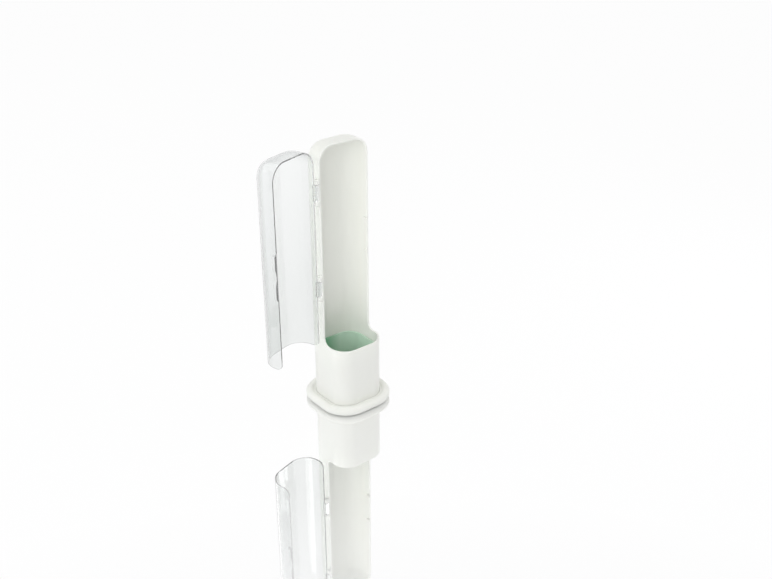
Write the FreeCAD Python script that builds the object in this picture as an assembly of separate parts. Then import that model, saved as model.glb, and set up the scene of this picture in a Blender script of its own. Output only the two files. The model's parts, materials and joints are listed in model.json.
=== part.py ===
"""Herb keeper: a rounded-square case with a clear swing door, a water cup and a plug-in foot.

The origin is the centre of the face the keeper stands on. +Z is up, the door side faces -Y and the
hinge is on the -X edge. The door is drawn shut and then swung to the angle at which it stands.
"""
import FreeCAD, Part
import math
import os

# Case: outline, heights and wall
CASE_WIDTH = 64.0
CASE_DEPTH = 64.0
CASE_CORNER_RADIUS = 21.0
CASE_TOP = 308.0
TOP_RADIUS_STEP = 2.0
CASE_WALL = 2.3
RIM_HEIGHT = 78.0
RIM_BLEND_RADIUS = 8.0

# Door
DOOR_WALL = 1.5
DOOR_GAP = 0.4
DOOR_OPEN_ANGLE = 164.0

# Hinge
BARREL_RADIUS = 2.5
BARREL_STANDOFF = 0.5
LOWER_HINGE_RISE = 70.5
UPPER_HINGE_DROP = 48.5
KNUCKLE_LENGTH = 17.5
LUG_LENGTH = 5.0
KNUCKLE_END_GAP = 0.3
PIN_RADIUS = 1.0
PIN_RUNNING_GAP = 0.05
PIN_END_RECESS = 0.3
PIN_CHAMFER = 0.25
LEAF_WALL_OVERLAP = 1.0

# Finger pull on the door's free edge, and the catch tabs behind it
PULL_CENTRE_RISE = 110.0
PULL_LENGTH = 55.0
PULL_DEPTH = 4.0
PULL_PROUD = 2.2
PULL_END_RADIUS = 1.6
SCOOP_LENGTH = 20.0
SCOOP_DROP = 1.4
TAB_THICKNESS = 1.6
TAB_REACH = 3.0
TAB_ROOT_LENGTH = 4.0
TAB_LENGTH = 16.0
TAB_GAP = 0.35

# Foot: lip, plate, shallow socket round the case and the plug that enters it
LIP_RADIUS = 5.0
LIP_OVERHANG = 11.6
LIP_FLOOR_GAP = 0.5
PLATE_BOTTOM = 1.4
PLATE_TOP = 6.0
SOCKET_RISE = 2.6
SOCKET_GAP = 0.2
PLUG_HEIGHT = 8.0
PLUG_WALL = 2.0
PLUG_GAP = 0.3

# Seal round the plug
SEAL_GROOVE_OFFSET = 3.0
SEAL_GROOVE_HEIGHT = 2.4
SEAL_GROOVE_DEPTH = 1.2
SEAL_HEIGHT = 2.2
SEAL_INNER_GAP = 0.05
SEAL_CASE_GAP = 0.15

# Pad under the foot
PAD_INSET = 1.0
PAD_EDGE_CHAMFER = 0.4

# Water cup
CUP_RIM_DROP = 12.0
CUP_CASE_GAP = 0.7
CUP_PLUG_GAP = 0.3
CUP_WALL = 1.5
CUP_FLOOR = 2.0
CUP_FOOT_RADIUS = 3.0
CUP_RIM_RADIUS = 0.6

# Overrun of a cutting solid past the face it cuts
CUT_OVERRUN = 10.0

# The top edge is rounded a step less than the upright corners, so that the dome closes over them
CASE_TOP_RADIUS = CASE_CORNER_RADIUS - TOP_RADIUS_STEP

# The lower hinge and the pull are placed above the rim, the upper hinge below the top
HINGE_HEIGHTS = {"lower": RIM_HEIGHT + LOWER_HINGE_RISE, "upper": CASE_TOP - UPPER_HINGE_DROP}
PULL_CENTRE_HEIGHT = RIM_HEIGHT + PULL_CENTRE_RISE

HINGE_X = -(CASE_WIDTH / 2 + BARREL_STANDOFF + BARREL_RADIUS)
HINGE_Y = 0.0
LEAF_LENGTH = BARREL_RADIUS + BARREL_STANDOFF + LEAF_WALL_OVERLAP
CUP_RIM_HEIGHT = RIM_HEIGHT - CUP_RIM_DROP
UP = FreeCAD.Vector(0, 0, 1)


def outline(inset, height):
    """Closed wire of the case's plan, shrunk by inset (grown where it is negative)."""
    half_x = CASE_WIDTH / 2 - inset
    half_y = CASE_DEPTH / 2 - inset
    radius = CASE_CORNER_RADIUS - inset
    slant = radius * math.sqrt(0.5)
    edges = []
    corners = [(1, 1), (-1, 1), (-1, -1), (1, -1)]
    for index, (side_x, side_y) in enumerate(corners):
        centre = FreeCAD.Vector(side_x * (half_x - radius), side_y * (half_y - radius), height)
        along_x = centre + FreeCAD.Vector(side_x * radius, 0, 0)
        along_y = centre + FreeCAD.Vector(0, side_y * radius, 0)
        middle = centre + FreeCAD.Vector(side_x * slant, side_y * slant, 0)
        start, end = (along_x, along_y) if index % 2 == 0 else (along_y, along_x)
        if edges:
            edges.append(Part.makeLine(edges[-1].Vertexes[-1].Point, start))
        else:
            first = start
        edges.append(Part.Arc(start, middle, end).toShape())
    edges.append(Part.makeLine(edges[-1].Vertexes[-1].Point, first))
    return Part.Wire(edges)


def prism(inset, bottom, top):
    """Upright solid with the case's plan."""
    return Part.Face(outline(inset, bottom)).extrude(UP * (top - bottom))


def ring(outer_inset, inner_inset, bottom, top):
    """Upright ring between two plans."""
    return prism(outer_inset, bottom, top).cut(prism(inner_inset, bottom, top))


def edges_at(solid, height):
    """Edges that lie wholly in the plane at this height."""
    return [
        edge
        for edge in solid.Edges
        if abs(edge.BoundBox.ZMin - height) < 1e-6 and abs(edge.BoundBox.ZMax - height) < 1e-6
    ]


def domed_prism(inset, bottom, top, top_radius):
    """Upright solid with the case's plan and a rounded top edge."""
    solid = prism(inset, bottom, top)
    return solid.makeFillet(top_radius, edges_at(solid, top))


def case_wall(wall, bottom):
    """The whole outline as a thin wall, open at the bottom and domed at the top."""
    outer = domed_prism(0, bottom, CASE_TOP, CASE_TOP_RADIUS)
    inner = domed_prism(wall, bottom - CUT_OVERRUN, CASE_TOP - wall, CASE_TOP_RADIUS - wall)
    return outer.cut(inner)


def front_region(gap):
    """Space in front of the parting plane and above the rim, with the round corner between them."""
    back = -gap
    floor = RIM_HEIGHT + gap
    radius = RIM_BLEND_RADIUS - gap
    front = -(CASE_DEPTH / 2 + CUT_OVERRUN)
    roof = CASE_TOP + CUT_OVERRUN
    side = -(CASE_WIDTH / 2 + CUT_OVERRUN)
    slant = radius * (1 - math.sqrt(0.5))
    low_front = FreeCAD.Vector(side, front, floor)
    low_back = FreeCAD.Vector(side, back - radius, floor)
    bend = FreeCAD.Vector(side, back - slant, floor + slant)
    high_back = FreeCAD.Vector(side, back, floor + radius)
    top_back = FreeCAD.Vector(side, back, roof)
    top_front = FreeCAD.Vector(side, front, roof)
    profile = Part.Wire([
        Part.makeLine(low_front, low_back),
        Part.Arc(low_back, bend, high_back).toShape(),
        Part.makeLine(high_back, top_back),
        Part.makeLine(top_back, top_front),
        Part.makeLine(top_front, low_front),
    ])
    return Part.Face(profile).extrude(FreeCAD.Vector(-2 * side, 0, 0))


def barrel(bottom, top, leaf_side):
    """Hinge barrel and the leaf that joins it to the wall; leaf_side is +1 behind, -1 in front."""
    axis_foot = FreeCAD.Vector(HINGE_X, HINGE_Y, bottom)
    round_part = Part.makeCylinder(BARREL_RADIUS, top - bottom, axis_foot, UP)
    near = DOOR_GAP if leaf_side < 0 else 0.0
    leaf_thickness = BARREL_RADIUS - near
    low_y = HINGE_Y + (near if leaf_side > 0 else -BARREL_RADIUS)
    leaf_foot = FreeCAD.Vector(HINGE_X, low_y, bottom)
    leaf = Part.makeBox(LEAF_LENGTH, leaf_thickness, top - bottom, leaf_foot)
    return round_part.fuse(leaf)


def knuckle_span(height):
    """Lowest and highest point of the door's knuckle at this hinge."""
    return height - KNUCKLE_LENGTH / 2, height + KNUCKLE_LENGTH / 2


def lug_spans(height):
    """Spans of the two lugs of the case, below and above the knuckle."""
    low, high = knuckle_span(height)
    low_lug_top = low - KNUCKLE_END_GAP
    high_lug_bottom = high + KNUCKLE_END_GAP
    return [(low_lug_top - LUG_LENGTH, low_lug_top), (high_lug_bottom, high_lug_bottom + LUG_LENGTH)]


def bore(radius, bottom, top):
    """Cutting cylinder on the hinge axis, run past both ends."""
    foot = FreeCAD.Vector(HINGE_X, HINGE_Y, bottom - KNUCKLE_END_GAP / 2)
    return Part.makeCylinder(radius, top - bottom + KNUCKLE_END_GAP, foot, UP)


def catch_tab(centre_height):
    """Tab inside the case's free edge that the shut door closes round."""
    outer = CASE_WIDTH / 2 - max(CASE_WALL, DOOR_WALL) - TAB_GAP
    inner = outer - TAB_THICKNESS
    bottom = centre_height - TAB_LENGTH / 2
    blade_foot = FreeCAD.Vector(inner, -TAB_REACH, bottom)
    blade = Part.makeBox(TAB_THICKNESS, TAB_REACH + TAB_ROOT_LENGTH, TAB_LENGTH, blade_foot)
    root_foot = FreeCAD.Vector(inner, DOOR_GAP, bottom)
    root_width = CASE_WIDTH / 2 - CASE_WALL / 2 - inner
    root = Part.makeBox(root_width, TAB_ROOT_LENGTH - DOOR_GAP, TAB_LENGTH, root_foot)
    return blade.fuse(root)


def make_case():
    """White case: closed lower tube, back shell, hinge lugs and catch tabs."""
    case = case_wall(CASE_WALL, PLATE_TOP).cut(front_region(0))
    for height in HINGE_HEIGHTS.values():
        for bottom, top in lug_spans(height):
            lug = barrel(bottom, top, 1).cut(bore(PIN_RADIUS, bottom, top))
            case = case.fuse(lug)
    tab_offset = (SCOOP_LENGTH + (PULL_LENGTH - SCOOP_LENGTH) / 2) / 2
    for side in (-1, 1):
        case = case.fuse(catch_tab(PULL_CENTRE_HEIGHT + side * tab_offset))
    return case.removeSplitter()


def finger_pull():
    """Rib on the outside of the free edge with a scoop in its middle."""
    wall_middle = CASE_WIDTH / 2 - DOOR_WALL / 2
    face = CASE_WIDTH / 2 + PULL_PROUD
    bottom = PULL_CENTRE_HEIGHT - PULL_LENGTH / 2
    foot = FreeCAD.Vector(wall_middle, -(DOOR_GAP + PULL_DEPTH), bottom)
    rib = Part.makeBox(face - wall_middle, PULL_DEPTH, PULL_LENGTH, foot)
    outer_edges = [edge for edge in rib.Edges if abs(edge.BoundBox.XMin - face) < 1e-6]
    ends = [edge for edge in outer_edges if edge.BoundBox.ZLength < 1e-6]
    rib = rib.makeFillet(PULL_END_RADIUS, ends)
    scoop_radius = ((SCOOP_LENGTH / 2) ** 2 + SCOOP_DROP ** 2) / (2 * SCOOP_DROP)
    scoop_centre = FreeCAD.Vector(
        face - SCOOP_DROP + scoop_radius, -(DOOR_GAP + PULL_DEPTH + CUT_OVERRUN), PULL_CENTRE_HEIGHT
    )
    scoop_length = PULL_DEPTH + 2 * CUT_OVERRUN
    scoop = Part.makeCylinder(scoop_radius, scoop_length, scoop_centre, FreeCAD.Vector(0, 1, 0))
    return rib.cut(scoop)


def make_door():
    """Clear half shell with its knuckles and pull, swung open about the hinge."""
    door = case_wall(DOOR_WALL, PLATE_TOP).common(front_region(DOOR_GAP))
    door = door.fuse(finger_pull())
    for height in HINGE_HEIGHTS.values():
        bottom, top = knuckle_span(height)
        knuckle = barrel(bottom, top, -1).cut(bore(PIN_RADIUS + PIN_RUNNING_GAP, bottom, top))
        door = door.fuse(knuckle)
    door = door.removeSplitter()
    door.rotate(FreeCAD.Vector(HINGE_X, HINGE_Y, 0), UP, -DOOR_OPEN_ANGLE)
    return door


def make_pin(height):
    """Steel pin through one knuckle and its two lugs."""
    spans = lug_spans(height)
    bottom = spans[0][0] + PIN_END_RECESS
    top = spans[-1][1] - PIN_END_RECESS
    pin = Part.makeCylinder(PIN_RADIUS, top - bottom, FreeCAD.Vector(HINGE_X, HINGE_Y, bottom), UP)
    return pin.makeChamfer(PIN_CHAMFER, edges_at(pin, bottom) + edges_at(pin, top))


def make_foot():
    """Foot: plate, half-round lip, socket round the case and the plug that enters it."""
    lip_path = outline(LIP_RADIUS - LIP_OVERHANG, LIP_FLOOR_GAP + LIP_RADIUS)
    start = lip_path.Edges[0].Vertexes[0].Point
    tangent = lip_path.Edges[0].tangentAt(lip_path.Edges[0].FirstParameter)
    section = Part.Wire([Part.makeCircle(LIP_RADIUS, start, tangent)])
    lip = lip_path.makePipeShell([section], True, True)
    plate = prism(LIP_RADIUS - LIP_OVERHANG, PLATE_BOTTOM, PLATE_TOP)
    socket = ring(LIP_RADIUS - LIP_OVERHANG, -SOCKET_GAP, PLATE_TOP, PLATE_TOP + SOCKET_RISE)
    plug_inset = CASE_WALL + PLUG_GAP
    plug = ring(plug_inset, plug_inset + PLUG_WALL, PLATE_TOP, PLATE_TOP + PLUG_HEIGHT)
    groove_bottom = PLATE_TOP + SEAL_GROOVE_OFFSET
    groove = ring(
        plug_inset - PLUG_GAP, plug_inset + SEAL_GROOVE_DEPTH, groove_bottom,
        groove_bottom + SEAL_GROOVE_HEIGHT,
    )
    return plate.fuse([lip, socket, plug.cut(groove)]).removeSplitter()


def make_seal():
    """Soft ring in the groove of the plug."""
    inner_inset = CASE_WALL + PLUG_GAP + SEAL_GROOVE_DEPTH - SEAL_INNER_GAP
    bottom = PLATE_TOP + SEAL_GROOVE_OFFSET
    return ring(CASE_WALL + SEAL_CASE_GAP, inner_inset, bottom, bottom + SEAL_HEIGHT)


def make_pad():
    """Soft pad under the plate, on which the keeper stands."""
    pad = prism(PAD_INSET, 0, PLATE_BOTTOM)
    return pad.makeChamfer(PAD_EDGE_CHAMFER, edges_at(pad, 0))


def make_cup():
    """Water cup that tapers from the rim to the inside of the plug."""
    rim_inset = CASE_WALL + CUP_CASE_GAP
    plug_inner_inset = CASE_WALL + PLUG_GAP + PLUG_WALL
    plug_top = PLATE_TOP + PLUG_HEIGHT
    slope = (plug_inner_inset + CUP_PLUG_GAP - rim_inset) / (CUP_RIM_HEIGHT - plug_top)
    foot_inset = rim_inset + slope * (CUP_RIM_HEIGHT - PLATE_TOP)
    outer = Part.makeLoft([outline(foot_inset, PLATE_TOP), outline(rim_inset, CUP_RIM_HEIGHT)], True, True)
    outer = outer.makeFillet(CUP_FOOT_RADIUS, edges_at(outer, PLATE_TOP))
    floor = PLATE_TOP + CUP_FLOOR
    floor_inset = foot_inset + CUP_WALL - slope * CUP_FLOOR
    mouth = CUP_RIM_HEIGHT + CUP_WALL
    mouth_inset = rim_inset + CUP_WALL - slope * CUP_WALL
    inner = Part.makeLoft([outline(floor_inset, floor), outline(mouth_inset, mouth)], True, True)
    inner = inner.makeFillet(CUP_FOOT_RADIUS - CUP_WALL, edges_at(inner, floor))
    cup = outer.cut(inner)
    return cup.makeFillet(CUP_RIM_RADIUS, edges_at(cup, CUP_RIM_HEIGHT))


def build():
    """Node name to solid, for every separate piece."""
    return {
        "case_shell": make_case(),
        "door": make_door(),
        "hinge_pin_lower": make_pin(HINGE_HEIGHTS["lower"]),
        "hinge_pin_upper": make_pin(HINGE_HEIGHTS["upper"]),
        "water_cup": make_cup(),
        "base_foot": make_foot(),
        "base_seal": make_seal(),
        "grip_pad": make_pad(),
    }


os.makedirs("parts", exist_ok=True)
for node, shape in build().items():
    shape.exportStep("parts/" + node + ".step")
    print(node, len(shape.Solids), "solid,", round(shape.Volume / 1000, 2), "cm3, valid", shape.isValid())
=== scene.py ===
"""Looks of the herb keeper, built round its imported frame.

The keeper is a tall rounded-square case of white plastic with a clear swing door, a translucent green
water cup and a wide lipped foot. Every length is in metres and every place is in the frame's own axes:
+Z up, the open front of the case towards -Y and the door's hinge on the -X edge.
"""
import json
import logging
import math
from contextlib import contextmanager
from dataclasses import dataclass
from enum import Enum
from typing import Iterable, Iterator, Sequence

import bmesh
import bpy
from mathutils import Matrix, Vector


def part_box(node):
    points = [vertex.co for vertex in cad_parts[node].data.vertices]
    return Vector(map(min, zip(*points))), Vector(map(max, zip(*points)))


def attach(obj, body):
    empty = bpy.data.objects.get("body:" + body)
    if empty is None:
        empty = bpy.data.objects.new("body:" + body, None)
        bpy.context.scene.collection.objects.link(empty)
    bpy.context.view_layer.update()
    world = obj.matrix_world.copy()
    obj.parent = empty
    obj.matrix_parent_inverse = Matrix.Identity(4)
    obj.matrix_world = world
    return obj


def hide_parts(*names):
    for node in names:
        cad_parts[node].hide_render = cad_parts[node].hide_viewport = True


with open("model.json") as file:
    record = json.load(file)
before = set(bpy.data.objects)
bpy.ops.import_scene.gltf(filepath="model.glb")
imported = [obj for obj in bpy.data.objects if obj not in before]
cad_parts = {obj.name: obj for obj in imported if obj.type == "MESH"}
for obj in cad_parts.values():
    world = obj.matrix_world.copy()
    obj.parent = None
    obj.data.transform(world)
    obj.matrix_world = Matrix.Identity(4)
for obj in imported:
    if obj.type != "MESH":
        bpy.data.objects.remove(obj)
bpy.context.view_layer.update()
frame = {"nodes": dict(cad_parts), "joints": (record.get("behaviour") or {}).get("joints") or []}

LOG = logging.getLogger("herb_keeper")
MM = 0.001
QUARTER = math.pi / 2
UPWARDS = Vector((0.0, 0.0, 1.0))
SAME_PLACE = 0.001 * MM  # points of a sweep this near are one
NEAR_PLACE = 0.03 * MM  # and so are points that a cut leaves this near
MOST_SIDES = 4  # faces with more are divided after a cut
EDGE_STEPS = 3
EDGE_ANGLE = math.radians(50)  # edges sharper than this are rounded
SHADING_ANGLE = math.radians(38)  # and edges sharper than this are shaded sharp
INWARD, UP, OUTWARD, DOWN = 0, 90, 180, 270  # ways across a profile, in degrees
EVEN_BLEND = 0.5
FULL_WHITE = (1.0, 1.0, 1.0, 1.0)

Outline = list[tuple[float, float]]
Triple = tuple[float, float, float]
Rgba = tuple[float, float, float, float]


class Body(Enum):
    """The bodies of the frame that pieces ride on."""

    FOOT = "foot"
    CASE = "case"
    DOOR = "door"
    CUP = "cup"


class Half(Enum):
    """Half of the plan, on one side of the parting plane: the value is the sign of its Y."""

    BACK = 1
    FRONT = -1


class Join(Enum):
    """What a boolean does with the other solids."""

    UNITE = "UNION"
    CUT = "DIFFERENCE"


class Mixed(Enum):
    """What a Mix node mixes: its data type, and how the names of its sockets end."""

    COLOUR = ("RGBA", "Color")
    NUMBER = ("FLOAT", "Float")


# ---------------------------------------------------------------- plan and surfaces


@dataclass(frozen=True)
class Station:
    """A point of the case's plan with the way straight out of it."""

    x: float
    y: float
    out_x: float
    out_y: float

    def place(self, inset: float, height: float) -> Vector:
        """The point this far inside the plan, at this height."""
        return Vector((self.x - self.out_x * inset, self.y - self.out_y * inset, height))

    def outward(self, tilt: float) -> Vector:
        """The way out of a surface that leans back from upright by this angle."""
        return Vector((self.out_x * math.cos(tilt), self.out_y * math.cos(tilt), math.sin(tilt)))


@dataclass(frozen=True)
class Plan:
    """Rounded square that the case, door, cup and foot share."""

    half_x: float
    half_y: float
    corner_radius: float = 21 * MM
    arc_steps: int = 20

    @classmethod
    def from_frame(cls) -> "Plan":
        """The plan as the case of the frame has it."""
        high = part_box("case_shell")[1]
        return cls(half_x=high.x, half_y=high.y)

    def half_loop(self, side: Half, marks: Sequence[float]) -> list[Station]:
        """Stations of one half of the plan, from the -X or +X edge round to the other, anticlockwise.

        Args:
            side: The half behind the parting plane or the one in front of it.
            marks: Distances from the parting plane that get a station on both flat sides.

        Returns:
            The stations in order, seen from above.
        """
        sign = side.value
        corner_x = self.half_x - self.corner_radius
        corner_y = self.half_y - self.corner_radius
        right = [Station(self.half_x, sign * mark, 1.0, 0.0) for mark in marks]
        for step in range(self.arc_steps + 1):
            angle = QUARTER * step / self.arc_steps
            out_x, out_y = math.cos(angle), sign * math.sin(angle)
            x = corner_x + self.corner_radius * out_x
            y = sign * corner_y + self.corner_radius * out_y
            right.append(Station(x, y, out_x, out_y))
        left = [Station(-s.x, s.y, -s.out_x, s.out_y) for s in reversed(right)]
        loop = right + left
        return loop if side is Half.BACK else loop[::-1]


@dataclass(frozen=True)
class Parting:
    """Line at which door and case meet: up from the rim, round a corner and up the sides."""

    rim: float = 78 * MM
    blend: float = 8 * MM
    gap: float = 0.0
    arc_angles: tuple[float, ...] = (0, 20, 31, 42, 53, 65, 77, 90)

    @property
    def radius(self) -> float:
        """Radius of the corner, less on the door's side of the gap."""
        return self.blend - self.gap

    @property
    def corner_top(self) -> float:
        """Height at which the corner ends and the upright edge begins."""
        return self.rim + self.blend

    def height(self, y: float) -> float:
        """Height of the line at this place, front to back.

        Args:
            y: Place from front to back.

        Returns:
            The line's height there.
        """
        ahead = self.blend + y
        if ahead <= 0:
            return self.rim + self.gap
        return self.corner_top - math.sqrt(max(self.radius**2 - ahead**2, 0.0))

    def marks(self) -> list[float]:
        """Distances in front of the parting plane at which the corner gets a station."""
        return [self.blend - self.radius * math.cos(math.radians(angle)) for angle in self.arc_angles]


class Sheet:
    """Rows of points with the ways out of them, joined by quads and then given a wall."""

    def __init__(self) -> None:
        """Starts with no points and no faces."""
        self.points: list[Vector] = []
        self.outward: list[Vector] = []
        self.faces: list[tuple[int, ...]] = []

    def row(self, places: Iterable[tuple[Vector, Vector]]) -> list[int]:
        """Adds one row of places with their ways out, and returns its indices.

        Args:
            places: Each point, with the way out of the surface there.

        Returns:
            The indices of the new points.
        """
        first = len(self.points)
        for point, outward in places:
            self.points.append(point)
            self.outward.append(outward)
        return list(range(first, len(self.points)))

    def bridge(self, low: Sequence[int], high: Sequence[int], closed: bool = False) -> None:
        """Joins two rows of equal length with quads that face outwards.

        Args:
            low: The lower row.
            high: The upper row.
            closed: True where the last point joins the first.
        """
        count = len(low)
        for index in range(count if closed else count - 1):
            after = (index + 1) % count
            self.faces.append((low[index], low[after], high[after], high[index]))

    def thick(self, name: str, wall: float) -> bpy.types.Mesh:
        """Closed mesh of the sheet with a wall behind it.

        Args:
            name: Name of the mesh.
            wall: Thickness, measured inwards from the sheet.

        Returns:
            The mesh, with the sheet's edge closed all round.
        """
        count = len(self.points)
        inner = [p - n * wall for p, n in zip(self.points, self.outward)]
        behind = [tuple(count + i for i in reversed(face)) for face in self.faces]
        used = {(a, b) for face in self.faces for a, b in zip(face, face[1:] + face[:1])}
        edge = [(b, a, count + a, count + b) for a, b in sorted(used) if (b, a) not in used]
        mesh = bpy.data.meshes.new(name)
        mesh.from_pydata(self.points + inner, [], self.faces + behind + edge)
        return mesh


@dataclass(frozen=True)
class ShellRows:
    """Rows of a thin wall that stands upright and closes over in a dome."""

    top: float
    dome_radius: float = 19 * MM
    upright_rows: int = 6
    dome_rows: int = 16

    def cover(self, sheet: Sheet, loop: Sequence[Station], below: Sequence[int]) -> None:
        """Carries the wall up from a row to the dome and closes the flat on top of it.

        Args:
            sheet: The sheet that is added to.
            loop: The stations of the row below.
            below: The row below, as indices of the sheet.
        """
        shoulder = self.top - self.dome_radius
        start = max(sheet.points[index].z for index in below)
        for step in range(1, self.upright_rows + 1):
            height = start + (shoulder - start) * step / self.upright_rows
            above = sheet.row((s.place(0, height), s.outward(0)) for s in loop)
            sheet.bridge(below, above)
            below = above
        for step in range(1, self.dome_rows + 1):
            tilt = QUARTER * step / self.dome_rows
            inset = self.dome_radius * (1 - math.cos(tilt))
            height = shoulder + self.dome_radius * math.sin(tilt)
            above = sheet.row((s.place(inset, height), s.outward(tilt)) for s in loop)
            sheet.bridge(below, above)
            below = above
        middle = sum((sheet.points[index] for index in below), Vector()) / len(below)
        hub = sheet.row([(middle, UPWARDS)])[0]
        sheet.faces += [(first, second, hub) for first, second in zip(below, below[1:] + below[:1])]


# ---------------------------------------------------------------- bench: objects and modifiers


def new_object(mesh: bpy.types.Mesh, name: str) -> bpy.types.Object:
    """Puts a mesh on show as an object at the origin.

    Args:
        mesh: The mesh.
        name: Name of the object.

    Returns:
        The object.
    """
    obj = bpy.data.objects.new(name, mesh)
    bpy.context.scene.collection.objects.link(obj)
    return obj


def set_solid(obj: bpy.types.Object) -> bpy.types.Object:
    """Turns an object's modifiers into its own plain mesh.

    Args:
        obj: The object.

    Returns:
        The same object.
    """
    graph = bpy.context.evaluated_depsgraph_get()
    mesh = bpy.data.meshes.new_from_object(
        obj.evaluated_get(graph), preserve_all_data_layers=True, depsgraph=graph
    )
    obj.modifiers.clear()
    obj.data = mesh
    mesh.name = obj.name
    return obj


def round_edges(obj: bpy.types.Object, radius: float) -> bpy.types.Object:
    """Rounds every sharp edge.

    Args:
        obj: The object.
        radius: Width of the rounding.

    Returns:
        The same object.
    """
    bevel = obj.modifiers.new("edges", "BEVEL")
    bevel.width = radius
    bevel.segments = EDGE_STEPS
    bevel.limit_method = "ANGLE"
    bevel.use_clamp_overlap = False
    bevel.angle_limit = EDGE_ANGLE
    return set_solid(obj)


def combine(base: bpy.types.Object, others: Sequence[bpy.types.Object], how: Join) -> bpy.types.Object:
    """Unites other solids with a base or cuts them out of it, and removes them.

    Args:
        base: The solid that is kept.
        others: The solids that are used up.
        how: What is done with them.

    Returns:
        The base with its new mesh.
    """
    for other in others:
        step = base.modifiers.new(how.name, "BOOLEAN")
        step.operation = how.value
        step.solver = "EXACT"
        step.object = other
    set_solid(base)
    for other in others:
        bpy.data.objects.remove(other)
    clean_joins(base.data)
    return base


@contextmanager
def reworked(mesh: bpy.types.Mesh, near: float) -> Iterator[bmesh.types.BMesh]:
    """Opens a mesh with its near points merged, and writes it back at the end.

    Args:
        mesh: The mesh that is worked on.
        near: Distance within which points become one.

    Returns:
        The mesh as it is worked on.
    """
    work = bmesh.new()
    work.from_mesh(mesh)
    bmesh.ops.remove_doubles(work, verts=work.verts, dist=near)
    yield work
    work.to_mesh(mesh)
    work.free()


def clean_joins(mesh: bpy.types.Mesh) -> None:
    """Merges the points that a cut leaves almost on each other, and divides its many-sided faces evenly.

    Args:
        mesh: The mesh.
    """
    with reworked(mesh, NEAR_PLACE) as work:
        many_sided = [face for face in work.faces if len(face.verts) > MOST_SIDES]
        bmesh.ops.triangulate(work, faces=many_sided, ngon_method="BEAUTY")


def smooth(obj: bpy.types.Object) -> bpy.types.Object:
    """Shades an object smooth but for its sharp edges, with its flats kept flat.

    Args:
        obj: The object.

    Returns:
        The same object.
    """
    obj.data.shade_smooth()
    obj.data.set_sharp_from_angle(angle=SHADING_ANGLE)
    weighted = obj.modifiers.new("flats", "WEIGHTED_NORMAL")
    weighted.keep_sharp = True
    return set_solid(obj)


def prism(
    name: str, section: Outline, low: float, high: float,
    axes: tuple[int, int, int] = (0, 1, 2),
) -> bpy.types.Object:
    """Closed solid with one section all along.

    Args:
        name: Name of the solid.
        section: Outline of the section.
        low: Where the solid begins along its length.
        high: Where it ends.
        axes: Which of section across, section up and length becomes X, Y and Z.

    Returns:
        The solid, with its faces outwards.
    """
    count = len(section)
    places = [(across, up, along) for along in (low, high) for across, up in section]
    points = [tuple(place[axis] for axis in axes) for place in places]
    sides = [(i, (i + 1) % count, count + (i + 1) % count, count + i) for i in range(count)]
    ends = [tuple(reversed(range(count))), tuple(range(count, 2 * count))]
    mesh = bpy.data.meshes.new(name)
    mesh.from_pydata(points, [], sides + ends)
    face_outwards(mesh)
    return new_object(mesh, name)


def face_outwards(mesh: bpy.types.Mesh, close_holes: bool = False) -> None:
    """Turns the faces of a closed mesh outwards, after its open ends are closed where asked.

    Args:
        mesh: The mesh.
        close_holes: True for a mesh with open ends.
    """
    with reworked(mesh, SAME_PLACE) as work:
        if close_holes:
            bmesh.ops.holes_fill(work, edges=[e for e in work.edges if e.is_boundary], sides=0)
        bmesh.ops.recalc_face_normals(work, faces=work.faces)


# ---------------------------------------------------------------- node trees


class NodeBook:
    """Adds the nodes of one tree and joins them."""

    def __init__(self, tree: bpy.types.NodeTree) -> None:
        """Takes the tree that is written to."""
        self.tree = tree

    def add(self, kind: str, **settings: object) -> bpy.types.Node:
        """Adds a node of this kind with these settings.

        Args:
            kind: Blender's name for the kind.
            settings: Properties of the node.

        Returns:
            The node.
        """
        node = self.tree.nodes.new(kind)
        for name, value in settings.items():
            setattr(node, name, value)
        return node

    def join(self, source: bpy.types.NodeSocket, target: bpy.types.NodeSocket) -> None:
        """Joins an output to an input."""
        self.tree.links.new(source, target)

    def give(self, socket: bpy.types.NodeSocket, value: object) -> None:
        """Sets an input to a value, or joins an output to it.

        Args:
            socket: The input.
            value: The value, or another node's output.
        """
        if isinstance(value, bpy.types.NodeSocket):
            self.join(value, socket)
        else:
            socket.default_value = value

    def fill(self, node: bpy.types.Node, **values: object) -> None:
        """Gives inputs of a node their values by name, with an underscore for each space."""
        for name, value in values.items():
            self.give(node.inputs[name.replace("_", " ")], value)

    def feed(self, node: bpy.types.Node, *values: object) -> bpy.types.NodeSocket:
        """Gives a node's inputs their values in order.

        Args:
            node: The node.
            values: A value or an output for each of its first inputs.

        Returns:
            The node's first output.
        """
        for socket, value in zip(node.inputs, values):
            self.give(socket, value)
        return node.outputs[0]

    def maths(self, operation: str, first: object, second: object) -> bpy.types.NodeSocket:
        """Result of a Math node on two values or outputs."""
        return self.feed(self.add("ShaderNodeMath", operation=operation), first, second)

    def choose(self, share: object, first: object, second: object) -> bpy.types.NodeSocket:
        """Mix of two shaders: the first one where the share is 0, the second where it is 1."""
        return self.feed(self.add("ShaderNodeMixShader"), share, first, second)

    def mix(self, kind: Mixed, share: object, first: object, second: object) -> bpy.types.NodeSocket:
        """Mix of two colours or numbers.

        Args:
            kind: Which of them is mixed.
            share: 0 for the first, 1 for the second.
            first: Value or output.
            second: Value or output.

        Returns:
            The result.
        """
        data_type, ending = kind.value
        node = self.add("ShaderNodeMix", data_type=data_type)
        inputs = {socket.identifier: socket for socket in node.inputs}
        self.give(inputs["Factor_Float"], share)
        self.give(inputs[f"A_{ending}"], first)
        self.give(inputs[f"B_{ending}"], second)
        return next(socket for socket in node.outputs if socket.identifier == f"Result_{ending}")


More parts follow.
